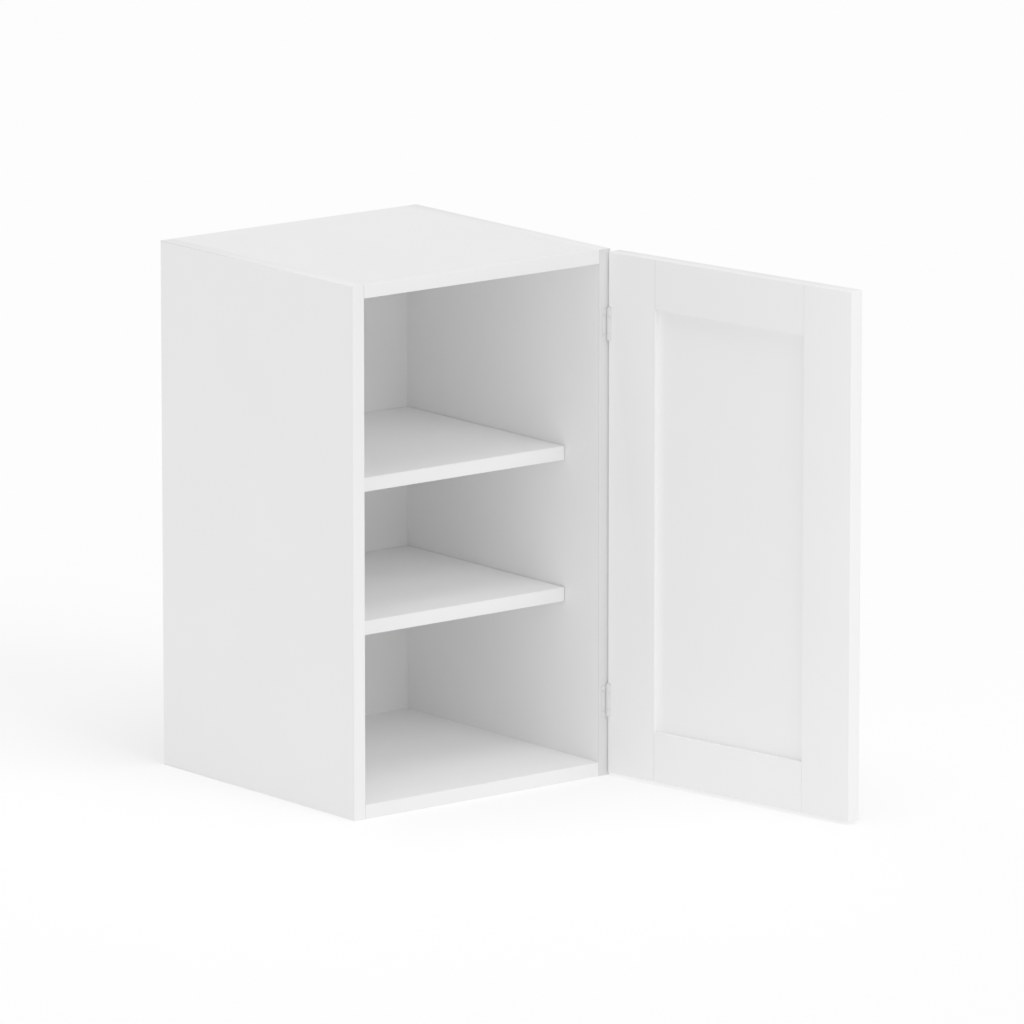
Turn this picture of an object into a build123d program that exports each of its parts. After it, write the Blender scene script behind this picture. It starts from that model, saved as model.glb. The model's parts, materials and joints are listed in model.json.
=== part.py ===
from build123d import *
import os

# A frameless wall cabinet with one shaker door, two loose shelves and a hanging rail.
# Millimetres. +X is to the right as one faces the door, +Y points into the wall, +Z is up.
# The origin is the centre of the four wall screws, on the plane of the wall.

# Carcass
WIDTH = 368.0
DEPTH = 356.0
HEIGHT = 610.0
BOARD = 16.0  # melamine-faced chipboard
BAND = 1.0  # edge band on every edge of a board that shows
BAND_ROUND = 0.5  # eased arris along an edge band
BACK = 3.0  # hardboard back, let into rebates flush with the boards' rear edges
BACK_LAP = 8.0  # how far each rebate reaches into its board
BACK_SLACK = 0.5  # room around the back in its rebates

# Hanging rail, inside the top of the back, and its wall screws
RAIL_HEIGHT = 76.0
WALL_SCREW_SPACING_X = 240.0
WALL_SCREW_SPACING_Z = 40.0
WALL_SCREW_HOLE_R = 2.75

# Knock-down fittings between the sides and the top and bottom panels
CAM_INSET = 24.0  # from the end of the panel to the axis of the cam lock
CAM_Y = (-296.0, -60.0)
CAM_R = 7.4
CAM_DEPTH = 12.3
CAM_BORE_R = 7.5
CAM_BORE_DEPTH = 12.5
BOLT_BORE_R = 4.0
BOLT_THREAD_R = 2.48
BOLT_THREAD = 11.0
BOLT_HOLE_R = 2.5
DOWEL_R = 3.95
DOWEL_HOLE_R = 4.0
DOWEL_IN_SIDE = 10.0
DOWEL_IN_PANEL = 20.0
DOWEL_SLACK = 1.0
DOWEL_Y = (-264.0, -92.0)
RAIL_DOWEL_Z = (-20.0, 20.0)

# Nails of the back
NAIL_R = 0.8
NAIL_LENGTH = 18.0
NAIL_HEAD_R = 1.7
NAIL_HEAD = 0.6
SIDE_NAIL_Z = (-500.0, -375.0, -250.0, -125.0, 0.0)
PANEL_NAIL_X = (-90.0, 90.0)

# Shelves and the pins that they rest on
SHELF_TOPS = {"upper": 374.5, "lower": 210.0}  # above the underside of the cabinet
SHELF_SETBACK = 61.5  # from the front of the carcass
SHELF_END_GAP = 0.9
SHELF_BACK_GAP = 0.5
PIN_INSET = 40.0  # from the shelf's front and rear edges
PIN_R = 2.48
PIN_HOLE_R = 2.5
PIN_IN_SIDE = 8.0
PIN_COLLAR_R = 3.6
PIN_COLLAR = 0.6
PIN_REACH = 9.0
PIN_FLAT = 2.2  # height of the flat on the pin above its axis

# Door: two stiles, two rails with stub tenons, and a thin panel held in their grooves
REVEAL = 3.0  # what the closed door leaves uncovered all round
DOOR_THICKNESS = 18.0
DOOR_GAP = 2.7  # between the closed door and the carcass
STILE = 70.0
DOOR_RAIL = 58.0
PANEL_THICKNESS = 6.0
GROOVE_DEPTH = 10.0
PANEL_SLACK = 1.0
DOOR_ROUND = 1.0
OPEN_ANGLE = 99.0  # the door stands open this far

# Narrow butt hinges
HINGE_HEIGHT = 36.0
HINGE_FROM_END = 87.0  # from the cabinet's top or underside to the hinge's middle
HINGE_OUTWARD = 3.8  # from the side's outer face in to the pin's axis
HINGE_FORWARD = 3.0  # from the carcass front out to the pin's axis
LEAF = 1.0
LEAF_REACH = 7.8  # from the pin's axis to the far edge of the leaf on the carcass
DOOR_LEAF_REACH = 10.0  # the same on the door
LEAF_CORNER = 1.5  # round corners at the leaves' far edges
LEAF_PROUD = 0.2  # how far a leaf stands out of the edge that it is let into
BARREL_R = 3.0
BARREL_ROOM_R = 3.2
MORTISE_SLACK = 0.15
KNUCKLE_END = 8.0
KNUCKLE_GAP = 0.2
HINGE_PIN_R = 1.5
PRESSED_BORE_R = 1.51
RUNNING_BORE_R = 1.55
FINIAL_R = 2.6
HINGE_SCREW_Z = (-11.5, 11.5)
HINGE_SCREW_R = 1.0
HINGE_SCREW_HEAD_R = 1.9
HINGE_SCREW_HEAD = 1.2
CABINET_SCREW_INSET = 5.6  # from the pin's axis to the screws of the leaf on the carcass
DOOR_SCREW_INSET = 7.0  # the same on the door
HINGE_SCREW_LENGTH = 12.0
SCREW_SLACK = 0.05

# Planes that the pieces share
RIGHT = WIDTH / 2
LEFT = -RIGHT
INNER = RIGHT - BOARD
FRONT = -DEPTH
RAIL_TOP = RAIL_HEIGHT / 2
TOP = RAIL_TOP + BOARD
BOTTOM = TOP - HEIGHT
BOTTOM_PANEL_TOP = BOTTOM + BOARD
HINGE_X = RIGHT - HINGE_OUTWARD
HINGE_Y = FRONT - HINGE_FORWARD
HINGE_Z = {"upper": TOP - HINGE_FROM_END, "lower": BOTTOM + HINGE_FROM_END}
DOOR_LEFT = LEFT + REVEAL
DOOR_RIGHT = RIGHT - REVEAL
DOOR_TOP = TOP - REVEAL
DOOR_BOTTOM = BOTTOM + REVEAL
DOOR_INSIDE = FRONT - DOOR_GAP
DOOR_OUTSIDE = DOOR_INSIDE - DOOR_THICKNESS
DOOR_LEAF_X = DOOR_RIGHT + LEAF_PROUD - LEAF  # the inner plane of the leaf on the door's edge
CABINET_LEAF_Y = FRONT - LEAF_PROUD + LEAF  # the inner plane of the leaf on the carcass front
SIDES = (-1, 1)


def block(x0, x1, y0, y1, z0, z1):
    """A box from one corner to the other."""
    centre = Pos((x0 + x1) / 2, (y0 + y1) / 2, (z0 + z1) / 2)
    return centre * Box(abs(x1 - x0), abs(y1 - y0), abs(z1 - z0))


def rod(start, along, radius, length):
    """A round bar that begins at start and runs in the direction along."""
    bar = Cylinder(radius, length, align=(Align.CENTER, Align.CENTER, Align.MIN))
    return Plane(origin=start, z_dir=along) * bar


def cone(start, along, radius, end_radius, length):
    """A round taper that begins at start and runs in the direction along."""
    taper = Cone(radius, end_radius, length, align=(Align.CENTER, Align.CENTER, Align.MIN))
    return Plane(origin=start, z_dir=along) * taper


def chamfered_rod(start, along, radius, length, edge):
    """A round bar with both its ends chamfered."""
    bar = rod(start, along, radius, length)
    return chamfer(bar.edges().filter_by(GeomType.CIRCLE), edge)


# Knock-down fittings


def cam_spot(side, y, face_z):
    """Where a cam lock's axis leaves the underside of its panel."""
    return (side * (INNER - CAM_INSET), y, face_z)


def cam_bores(face_z):
    """What is bored out of a top or bottom panel for its cams, bolts and dowels."""
    middle = face_z + BOARD / 2
    bores = []
    for side in SIDES:
        for y in CAM_Y:
            bores.append(rod(cam_spot(side, y, face_z), (0, 0, 1), CAM_BORE_R, CAM_BORE_DEPTH))
            bores.append(rod((side * INNER, y, middle), (-side, 0, 0), BOLT_BORE_R, CAM_INSET))
        for y in DOWEL_Y:
            depth = DOWEL_IN_PANEL + DOWEL_SLACK
            bores.append(rod((side * INNER, y, middle), (-side, 0, 0), DOWEL_HOLE_R, depth))
    return bores


def side_bores(side):
    """What is bored into a side's inner face for the bolts, dowels and shelf pins."""
    bores = []
    for face_z in (RAIL_TOP, BOTTOM):
        middle = face_z + BOARD / 2
        for y in CAM_Y:
            bores.append(rod((side * INNER, y, middle), (side, 0, 0), BOLT_HOLE_R, BOLT_THREAD))
        for y in DOWEL_Y:
            depth = DOWEL_IN_SIDE + DOWEL_SLACK
            bores.append(rod((side * INNER, y, middle), (side, 0, 0), DOWEL_HOLE_R, depth))
    for z in RAIL_DOWEL_Z:
        depth = DOWEL_IN_SIDE + DOWEL_SLACK
        bores.append(rod((side * INNER, rail_middle_y(), z), (side, 0, 0), DOWEL_HOLE_R, depth))
    for shelf in SHELF_TOPS:
        for y in shelf_pin_y():
            start = (side * INNER, y, shelf_pin_z(shelf))
            bores.append(rod(start, (side, 0, 0), PIN_HOLE_R, PIN_IN_SIDE))
    return bores


def cam_lock(side, y, face_z):
    """A cam lock: a drum, open at its inner end for the bolt's neck and head, with a cross slot."""
    x = cam_spot(side, y, face_z)[0]
    axis_z = face_z + BOARD / 2
    end_z = face_z + CAM_DEPTH
    neck, head, cross, cross_depth, cross_width = 2.8, 3.8, 4.5, 2.5, 0.8
    drum = rod((x, y, face_z), (0, 0, 1), CAM_R, CAM_DEPTH)
    drum -= block(x, x + side * CAM_R, y - neck, y + neck, axis_z - neck, end_z)
    drum -= block(x - side, x + side * 5, y - head, y + head, axis_z - head, end_z)
    drum -= block(x - cross, x + cross, y - cross_width, y + cross_width, face_z, face_z + cross_depth)
    drum -= block(x - cross_width, x + cross_width, y - cross, y + cross, face_z, face_z + cross_depth)
    return drum


def cam_bolt(side, y, face_z):
    """A cam bolt: a thread in the side, then a collar, a neck and the head inside the cam."""
    z = face_z + BOARD / 2
    collar, neck_end, head_end = 1.0, 19.5, 24.0
    bolt = rod((side * (INNER + BOLT_THREAD), y, z), (-side, 0, 0), BOLT_THREAD_R, BOLT_THREAD)
    bolt += rod((side * INNER, y, z), (-side, 0, 0), 3.5, collar)
    bolt += rod((side * (INNER - collar), y, z), (-side, 0, 0), 2.2, neck_end - collar)
    bolt += rod((side * (INNER - neck_end), y, z), (-side, 0, 0), 3.4, head_end - neck_end)
    return bolt


def dowel(side, y, z):
    """A glued wooden dowel, partly in the side and partly in the panel's end."""
    start = (side * (INNER + DOWEL_IN_SIDE), y, z)
    return chamfered_rod(start, (-side, 0, 0), DOWEL_R, DOWEL_IN_SIDE + DOWEL_IN_PANEL, 1.0)


def panel_fixings(place, face_z):
    """The cam locks, bolts and dowels of one top or bottom panel."""
    middle = face_z + BOARD / 2
    return {
        f"cam_locks_{place}": [cam_lock(s, y, face_z) for s in SIDES for y in CAM_Y],
        f"cam_bolts_{place}": [cam_bolt(s, y, face_z) for s in SIDES for y in CAM_Y],
        f"dowels_{place}": [dowel(s, y, middle) for s in SIDES for y in DOWEL_Y],
    }


# Back, hanging rail and nails


def rail_middle_y():
    """The middle of the hanging rail's thickness, which stands against the back."""
    return -BACK - BOARD / 2


def wall_screw_holes():
    """The four holes through the hanging rail and the back."""
    depth = BOARD + BACK
    holes = []
    for x in (-WALL_SCREW_SPACING_X / 2, WALL_SCREW_SPACING_X / 2):
        for z in (-WALL_SCREW_SPACING_Z / 2, WALL_SCREW_SPACING_Z / 2):
            holes.append(rod((x, -depth, z), (0, 1, 0), WALL_SCREW_HOLE_R, depth))
    return holes


def nail_spots():
    """Where the nails of the back go in, along the middle of each rebate."""
    lap = BACK_LAP / 2
    spots = [(side * (INNER + lap), z) for side in SIDES for z in SIDE_NAIL_Z]
    spots += [(x, RAIL_TOP + lap) for x in PANEL_NAIL_X]
    spots += [(x, BOTTOM_PANEL_TOP - lap) for x in PANEL_NAIL_X]
    return spots


def nail(x, z):
    """A nail with its head set flush in the back."""
    shank = rod((x, 0, z), (0, -1, 0), NAIL_R, NAIL_LENGTH)
    return shank + rod((x, 0, z), (0, -1, 0), NAIL_HEAD_R, NAIL_HEAD)


def nails():
    """All the nails of the back."""
    return [nail(x, z) for x, z in nail_spots()]


def rebate():
    """The room that the boards leave for the back."""
    reach = INNER + BACK_LAP
    return block(-reach, reach, -BACK, 0, BOTTOM_PANEL_TOP - BACK_LAP, RAIL_TOP + BACK_LAP)


def back_panel():
    """The hardboard back."""
    reach = INNER + BACK_LAP - BACK_SLACK
    low = BOTTOM_PANEL_TOP - BACK_LAP + BACK_SLACK
    high = RAIL_TOP + BACK_LAP - BACK_SLACK
    return block(-reach, reach, -BACK, 0, low, high) - wall_screw_holes() - nails()


def hanging_rail():
    """The rail that carries the cabinet on its wall screws, without the band under it."""
    rail = block(-INNER, INNER, -BACK - BOARD, -BACK, -RAIL_TOP + BAND, RAIL_TOP)
    for side in SIDES:
        for z in RAIL_DOWEL_Z:
            start = (side * INNER, rail_middle_y(), z)
            rail -= rod(start, (-side, 0, 0), DOWEL_HOLE_R, DOWEL_IN_PANEL + DOWEL_SLACK)
    return rail - wall_screw_holes()


def rail_band():
    """The edge band under the hanging rail."""
    return block(-INNER, INNER, -BACK - BOARD, -BACK, -RAIL_TOP, -RAIL_TOP + BAND)


# Boards of the carcass


def front_band(x0, x1, z0, z1, front, along):
    """An edge band on a front edge, with its two long front arrises eased."""
    band = block(x0, x1, front, front + BAND, z0, z1)
    arrises = band.edges().filter_by(along).group_by(Axis.Y)[0]
    return fillet(arrises, BAND_ROUND)


def barrel_room(name):
    """The room for one hinge's barrel and the finial on top of it."""
    half = HINGE_HEIGHT / 2 + MORTISE_SLACK
    low = HINGE_Z[name] - half
    return rod((HINGE_X, HINGE_Y, low), (0, 0, 1), BARREL_ROOM_R, 2 * half + FINIAL_R)


def cabinet_plate(name, slack=0.0):
    """The flat part of the leaf on the carcass, or with slack the room for it."""
    z = HINGE_Z[name]
    half = HINGE_HEIGHT / 2 + slack
    left = HINGE_X - LEAF_REACH - slack
    plate = block(left, HINGE_X + slack, CABINET_LEAF_Y - LEAF, CABINET_LEAF_Y, z - half, z + half)
    return fillet(plate.edges().filter_by(Axis.Y).group_by(Axis.X)[0], LEAF_CORNER)


def hinge_mortise(name):
    """The room for one hinge in the front edge of the right side."""
    return cabinet_plate(name, MORTISE_SLACK) + barrel_room(name)


def carcass_cuts():
    """The hinge mortises and the holes of their screws in the right side."""
    cuts = [hinge_mortise(name) for name in HINGE_Z]
    for name in HINGE_Z:
        cuts += cabinet_screws(name, SCREW_SLACK)
    return cuts


def side_panel(side):
    """A full-height side, without its edge bands."""
    panel = block(side * INNER, side * RIGHT, FRONT + BAND, 0, BOTTOM + BAND, TOP - BAND)
    panel -= [rebate()] + side_bores(side) + nails()
    if side > 0:
        panel -= carcass_cuts()
    return panel


def side_bands(side):
    """The edge bands of a side: on its front, its top end and its bottom end."""
    x0, x1 = sorted((side * INNER, side * RIGHT))
    front = front_band(x0, x1, BOTTOM, TOP, FRONT, Axis.Z)
    if side > 0:
        front -= carcass_cuts()
    top = block(x0, x1, FRONT + BAND, 0, TOP - BAND, TOP)
    return [front, top, block(x0, x1, FRONT + BAND, 0, BOTTOM, BOTTOM + BAND)]


def cross_panel(face_z):
    """A top or bottom panel between the sides, with its underside at face_z."""
    panel = block(-INNER, INNER, FRONT + BAND, 0, face_z, face_z + BOARD)
    return panel - ([rebate()] + cam_bores(face_z) + nails())


def cross_band(face_z):
    """The edge band on the front of a top or bottom panel."""
    return front_band(-INNER, INNER, face_z, face_z + BOARD, FRONT, Axis.X)


# Shelves


def shelf_pin_z(shelf):
    """The height of a shelf's pin axes."""
    return BOTTOM + SHELF_TOPS[shelf] - BOARD - PIN_FLAT


def shelf_front():
    """The plane of a shelf's front edge."""
    return FRONT + SHELF_SETBACK


def shelf_rear():
    """The plane of a shelf's rear edge."""
    return -BACK - SHELF_BACK_GAP


def shelf_pin_y():
    """How far back the front and rear pins of a shelf are."""
    return (shelf_front() + PIN_INSET, shelf_rear() - PIN_INSET)


def shelf_pin(side, y, z):
    """A steel pin with a collar, and a flat on its free end for the shelf to lie on."""
    pin = rod((side * (INNER + PIN_IN_SIDE), y, z), (-side, 0, 0), PIN_R, PIN_IN_SIDE + PIN_REACH)
    pin += rod((side * INNER, y, z), (-side, 0, 0), PIN_COLLAR_R, PIN_COLLAR)
    flat_start = side * (INNER - PIN_COLLAR)
    flat_end = side * (INNER - PIN_REACH)
    return pin - block(flat_start, flat_end, y - PIN_R, y + PIN_R, z + PIN_FLAT, z + PIN_R)


def shelf_pins(shelf):
    """The four pins of one shelf."""
    return [shelf_pin(side, y, shelf_pin_z(shelf)) for side in SIDES for y in shelf_pin_y()]


def shelf_board(shelf):
    """A loose shelf, without its edge band."""
    reach = INNER - SHELF_END_GAP
    top = BOTTOM + SHELF_TOPS[shelf]
    return block(-reach, reach, shelf_front() + BAND, shelf_rear(), top - BOARD, top)


def shelf_band(shelf):
    """The edge band on the front of a shelf."""
    reach = INNER - SHELF_END_GAP
    top = BOTTOM + SHELF_TOPS[shelf]
    return front_band(-reach, reach, top - BOARD, top, shelf_front(), Axis.X)


# Hinges, drawn with the door closed


def screw(start, along, slack=0.0):
    """A countersunk screw, or with slack the hole that it needs."""
    head_r = HINGE_SCREW_HEAD_R + slack
    shank_r = HINGE_SCREW_R + slack
    body = cone(start, along, head_r, shank_r, HINGE_SCREW_HEAD)
    body += rod(start, along, shank_r, HINGE_SCREW_LENGTH + slack)
    if slack:
        return body
    plane = Plane(origin=start, z_dir=along)
    arm, width, depth = 2.6, 0.6, 0.9
    centred = (Align.CENTER, Align.CENTER, Align.MIN)
    body -= plane * Box(arm, width, depth, align=centred)
    return body - plane * Box(width, arm, depth, align=centred)


def cabinet_screws(name, slack=0.0):
    """The two screws of one hinge's leaf on the carcass."""
    x = HINGE_X - CABINET_SCREW_INSET
    spots = [(x, CABINET_LEAF_Y - LEAF, HINGE_Z[name] + dz) for dz in HINGE_SCREW_Z]
    return [screw(spot, (0, 1, 0), slack) for spot in spots]


def door_screws(name, slack=0.0):
    """The two screws of one hinge's leaf on the door's edge."""
    y = HINGE_Y - DOOR_SCREW_INSET
    spots = [(DOOR_LEAF_X + LEAF, y, HINGE_Z[name] + dz) for dz in HINGE_SCREW_Z]
    return [screw(spot, (-1, 0, 0), slack) for spot in spots]


def knuckles(name, ends):
    """The hinge's two end knuckles, or the one between them."""
    low = HINGE_Z[name] - HINGE_HEIGHT / 2
    high = HINGE_Z[name] + HINGE_HEIGHT / 2
    if ends:
        spans = [(low, low + KNUCKLE_END), (high - KNUCKLE_END, high)]
    else:
        spans = [(low + KNUCKLE_END + KNUCKLE_GAP, high - KNUCKLE_END - KNUCKLE_GAP)]
    return [rod((HINGE_X, HINGE_Y, z0), (0, 0, 1), BARREL_R, z1 - z0) for z0, z1 in spans]


def other_knuckle_room(name, ends):
    """What a leaf leaves free for the knuckles of the other leaf."""
    low = HINGE_Z[name] - HINGE_HEIGHT / 2
    high = HINGE_Z[name] + HINGE_HEIGHT / 2
    if ends:
        spans = [(low + KNUCKLE_END, high - KNUCKLE_END)]
    else:
        spans = [
            (low, low + KNUCKLE_END + KNUCKLE_GAP),
            (high - KNUCKLE_END - KNUCKLE_GAP, high),
        ]
    return [rod((HINGE_X, HINGE_Y, z0), (0, 0, 1), BARREL_ROOM_R, z1 - z0) for z0, z1 in spans]


def pin_bore(name, radius):
    """The bore for the hinge's pin."""
    low = HINGE_Z[name] - HINGE_HEIGHT / 2
    return rod((HINGE_X, HINGE_Y, low), (0, 0, 1), radius, HINGE_HEIGHT)


def cabinet_leaf(name):
    """The leaf let into the front edge of the right side, with the two end knuckles."""
    leaf = cabinet_plate(name) - other_knuckle_room(name, ends=True)
    leaf += knuckles(name, ends=True)
    return leaf - pin_bore(name, PRESSED_BORE_R) - cabinet_screws(name, SCREW_SLACK)


def door_plate(name, slack=0.0):
    """The flat part of the leaf on the door, or with slack the room for it."""
    z = HINGE_Z[name]
    half = HINGE_HEIGHT / 2 + slack
    front = HINGE_Y - DOOR_LEAF_REACH - slack
    plate = block(DOOR_LEAF_X, DOOR_LEAF_X + LEAF, front, HINGE_Y + slack, z - half, z + half)
    return fillet(plate.edges().filter_by(Axis.X).group_by(Axis.Y)[0], LEAF_CORNER)


def door_leaf(name):
    """The leaf let into the hinge-side edge of the door, with the middle knuckle."""
    leaf = door_plate(name) - other_knuckle_room(name, ends=False)
    leaf += knuckles(name, ends=False)
    return leaf - pin_bore(name, RUNNING_BORE_R) - door_screws(name, SCREW_SLACK)


def hinge_pin(name):
    """The loose pin of one hinge, with a domed finial on top."""
    low = HINGE_Z[name] - HINGE_HEIGHT / 2
    high = HINGE_Z[name] + HINGE_HEIGHT / 2
    pin = rod((HINGE_X, HINGE_Y, low), (0, 0, 1), HINGE_PIN_R, HINGE_HEIGHT)
    dome = Pos(HINGE_X, HINGE_Y, high) * Sphere(FINIAL_R)
    cap = dome & block(HINGE_X - FINIAL_R, HINGE_X + FINIAL_R, HINGE_Y - FINIAL_R, HINGE_Y + FINIAL_R,
                       high, high + FINIAL_R)
    return pin + cap


# Door, drawn closed


def door_blank():
    """The whole door's outline, with its arrises eased."""
    blank = block(DOOR_LEFT, DOOR_RIGHT, DOOR_OUTSIDE, DOOR_INSIDE, DOOR_BOTTOM, DOOR_TOP)
    return fillet(blank.edges(), DOOR_ROUND)


def groove_y():
    """The two faces of the groove, in the middle of the door's thickness."""
    middle = (DOOR_INSIDE + DOOR_OUTSIDE) / 2
    return middle - PANEL_THICKNESS / 2, middle + PANEL_THICKNESS / 2


def door_stile(side):
    """A full-height stile with a groove along its inner edge."""
    outer = DOOR_RIGHT if side > 0 else DOOR_LEFT
    inner = outer - side * STILE
    stile = block(outer, inner, DOOR_OUTSIDE, DOOR_INSIDE, DOOR_BOTTOM, DOOR_TOP)
    groove = block(inner, inner + side * GROOVE_DEPTH, *groove_y(), DOOR_BOTTOM, DOOR_TOP)
    stile = (stile - groove) & door_blank()
    if side > 0:
        for name in HINGE_Z:
            stile -= door_mortise(name)
            stile -= door_screws(name, SCREW_SLACK)
    return stile


def door_mortise(name):
    """The room for one hinge in the door's edge."""
    return door_plate(name, MORTISE_SLACK) + barrel_room(name)


def door_rail(outer, inner):
    """A rail between the stiles, from its outer edge to its grooved inner edge."""
    left = DOOR_LEFT + STILE
    right = DOOR_RIGHT - STILE
    inward = 1 if inner > outer else -1
    rail = block(left, right, DOOR_OUTSIDE, DOOR_INSIDE, outer, inner)
    rail += block(left - GROOVE_DEPTH, right + GROOVE_DEPTH, *groove_y(), outer, inner)
    groove = block(left - GROOVE_DEPTH, right + GROOVE_DEPTH, *groove_y(),
                   inner - inward * GROOVE_DEPTH, inner)
    return (rail - groove) & door_blank()


def door_panel():
    """The thin panel that floats in the grooves."""
    reach = GROOVE_DEPTH - PANEL_SLACK
    left = DOOR_LEFT + STILE - reach
    right = DOOR_RIGHT - STILE + reach
    low = DOOR_BOTTOM + DOOR_RAIL - reach
    high = DOOR_TOP - DOOR_RAIL + reach
    return block(left, right, *groove_y(), low, high)


def opened(piece):
    """A piece of the closed door, turned about the hinge pins to where the door stands."""
    to_axis = Pos(HINGE_X, HINGE_Y, 0)
    return to_axis * Rot(0, 0, OPEN_ANGLE) * to_axis.inverse() * piece


# The nodes


def carcass_nodes():
    """The fixed pieces."""
    nodes = {
        "side_panel_left": [side_panel(-1)],
        "side_panel_right": [side_panel(1)],
        "top_panel": [cross_panel(RAIL_TOP)],
        "bottom_panel": [cross_panel(BOTTOM)],
        "back_panel": [back_panel()],
        "hanging_rail": [hanging_rail()],
        "edge_band_side_left": side_bands(-1),
        "edge_band_side_right": side_bands(1),
        "edge_band_top": [cross_band(RAIL_TOP)],
        "edge_band_bottom": [cross_band(BOTTOM)],
        "edge_band_rail": [rail_band()],
        "back_panel_nails": nails(),
        "dowels_rail": [dowel(s, rail_middle_y(), z) for s in SIDES for z in RAIL_DOWEL_Z],
    }
    nodes.update(panel_fixings("top", RAIL_TOP))
    nodes.update(panel_fixings("bottom", BOTTOM))
    for shelf in SHELF_TOPS:
        nodes[f"shelf_pins_{shelf}"] = shelf_pins(shelf)
    for name in HINGE_Z:
        nodes[f"hinge_leaf_cabinet_{name}"] = [cabinet_leaf(name)]
        nodes[f"hinge_pin_{name}"] = [hinge_pin(name)]
        nodes[f"hinge_screws_cabinet_{name}"] = cabinet_screws(name)
    return nodes


def shelf_nodes():
    """The loose shelves."""
    nodes = {}
    for shelf in SHELF_TOPS:
        nodes[f"shelf_{shelf}_board"] = [shelf_board(shelf)]
        nodes[f"shelf_{shelf}_edge_band"] = [shelf_band(shelf)]
    return nodes


def door_nodes():
    """The pieces that swing with the door, where it stands open."""
    closed = {
        "door_stile_hinge": [door_stile(1)],
        "door_stile_free": [door_stile(-1)],
        "door_rail_top": [door_rail(DOOR_TOP, DOOR_TOP - DOOR_RAIL)],
        "door_rail_bottom": [door_rail(DOOR_BOTTOM, DOOR_BOTTOM + DOOR_RAIL)],
        "door_panel": [door_panel()],
    }
    for name in HINGE_Z:
        closed[f"hinge_leaf_door_{name}"] = [door_leaf(name)]
        closed[f"hinge_screws_door_{name}"] = door_screws(name)
    return {node: [opened(piece) for piece in pieces] for node, pieces in closed.items()}


os.makedirs("parts", exist_ok=True)
for node, pieces in {**carcass_nodes(), **shelf_nodes(), **door_nodes()}.items():
    solids = [solid for piece in pieces for solid in piece.solids()]
    export_step(Compound(children=solids), f"parts/{node}.step")
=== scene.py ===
import json
import math

import bmesh
import bpy
from mathutils import Matrix, Vector


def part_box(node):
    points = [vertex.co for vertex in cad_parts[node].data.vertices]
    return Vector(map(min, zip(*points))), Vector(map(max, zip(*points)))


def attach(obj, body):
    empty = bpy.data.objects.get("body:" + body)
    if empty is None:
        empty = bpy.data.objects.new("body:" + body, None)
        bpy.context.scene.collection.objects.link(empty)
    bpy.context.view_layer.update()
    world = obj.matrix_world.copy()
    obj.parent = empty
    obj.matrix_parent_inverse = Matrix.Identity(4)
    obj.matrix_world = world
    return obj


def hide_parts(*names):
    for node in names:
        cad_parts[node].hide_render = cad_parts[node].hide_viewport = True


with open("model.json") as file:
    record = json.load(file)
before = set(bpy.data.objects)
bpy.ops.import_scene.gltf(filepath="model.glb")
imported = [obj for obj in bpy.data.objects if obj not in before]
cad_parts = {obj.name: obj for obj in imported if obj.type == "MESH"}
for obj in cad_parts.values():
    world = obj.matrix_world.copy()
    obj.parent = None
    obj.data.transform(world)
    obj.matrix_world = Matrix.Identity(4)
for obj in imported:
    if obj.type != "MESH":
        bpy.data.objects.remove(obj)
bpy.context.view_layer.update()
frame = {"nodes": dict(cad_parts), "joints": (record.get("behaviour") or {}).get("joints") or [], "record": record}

MM = 0.001
TINY = 0.001 * MM
CLEAR = 1.0 * MM  # how far a cutting shape reaches beyond what it cuts

# Arrises: how far each kind of edge is rounded
BOARD_EASE = 0.25 * MM
COVERED_EASE = 0.08 * MM  # where a band or another board covers the edge
BAND_EASE = 0.45 * MM  # along the front of a band
BAND_END_EASE = 0.25 * MM
CAP_EASE = 0.2 * MM
DOOR_EASE = 1.0 * MM  # along the door's outline
JOINT_EASE = 0.35 * MM  # along the inner edges of the stiles and rails
METAL_EASE = 0.12 * MM
SHARP = math.radians(35)  # an edge that turns by more than this is eased
ROUND_STEPS = 64
SMALL_ROUND_STEPS = 32
HOLE_STEPS = 24
TRIANGLE = 3

# Joints of the door's frame
JOINT_SLIT = 0.35 * MM  # the open line between a rail's shoulder and a stile
JOINT_DEPTH = 2.0 * MM  # how deep the open line is
GROOVE_DEPTH = 10.0 * MM

# Boards and their bands
BAND_THICKNESS = 1.0 * MM
CAP_GAP = 0.05 * MM  # between a side's front band and the bands on its ends
BAND_SLIT = 0.25 * MM  # between the ends of the other front bands and the sides' bands
BACK_SLACK = 0.5 * MM

# Shelf pins
SHELF_PIN_HOLE_R = 2.5 * MM
SHELF_PIN_R = 2.48 * MM
SHELF_PIN_EDGE = 0.3 * MM
SHELF_PIN_COLLAR_R = 3.6 * MM
SHELF_PIN_COLLAR = 0.6 * MM
SHELF_PIN_REACH = 9.0 * MM
SHELF_PIN_FLAT = 2.2 * MM  # height of the flat above the pin's axis

# Cam locks
CAM_R = 7.4 * MM
CAM_HOLE_R = 7.5 * MM
CAM_HOLE_DEPTH = 12.5 * MM
CAM_DEPTH = 12.3 * MM
CAM_RIM = 0.4 * MM
CAM_DISH_R = 5.6 * MM
CAM_DISH = 0.5 * MM
CAM_SLOT = Vector((4.0, 0.8, 2.5)) * MM  # half its length, half its width, its depth
CAM_POINTER_R = 1.0 * MM
CAM_POINTER_OUT = 5.2 * MM
CAM_POINTER_FROM = 0.2 * MM
BOLT_ROOM_HALF = 2.8 * MM
BOLT_ROOM_FROM = 5.2 * MM

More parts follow.
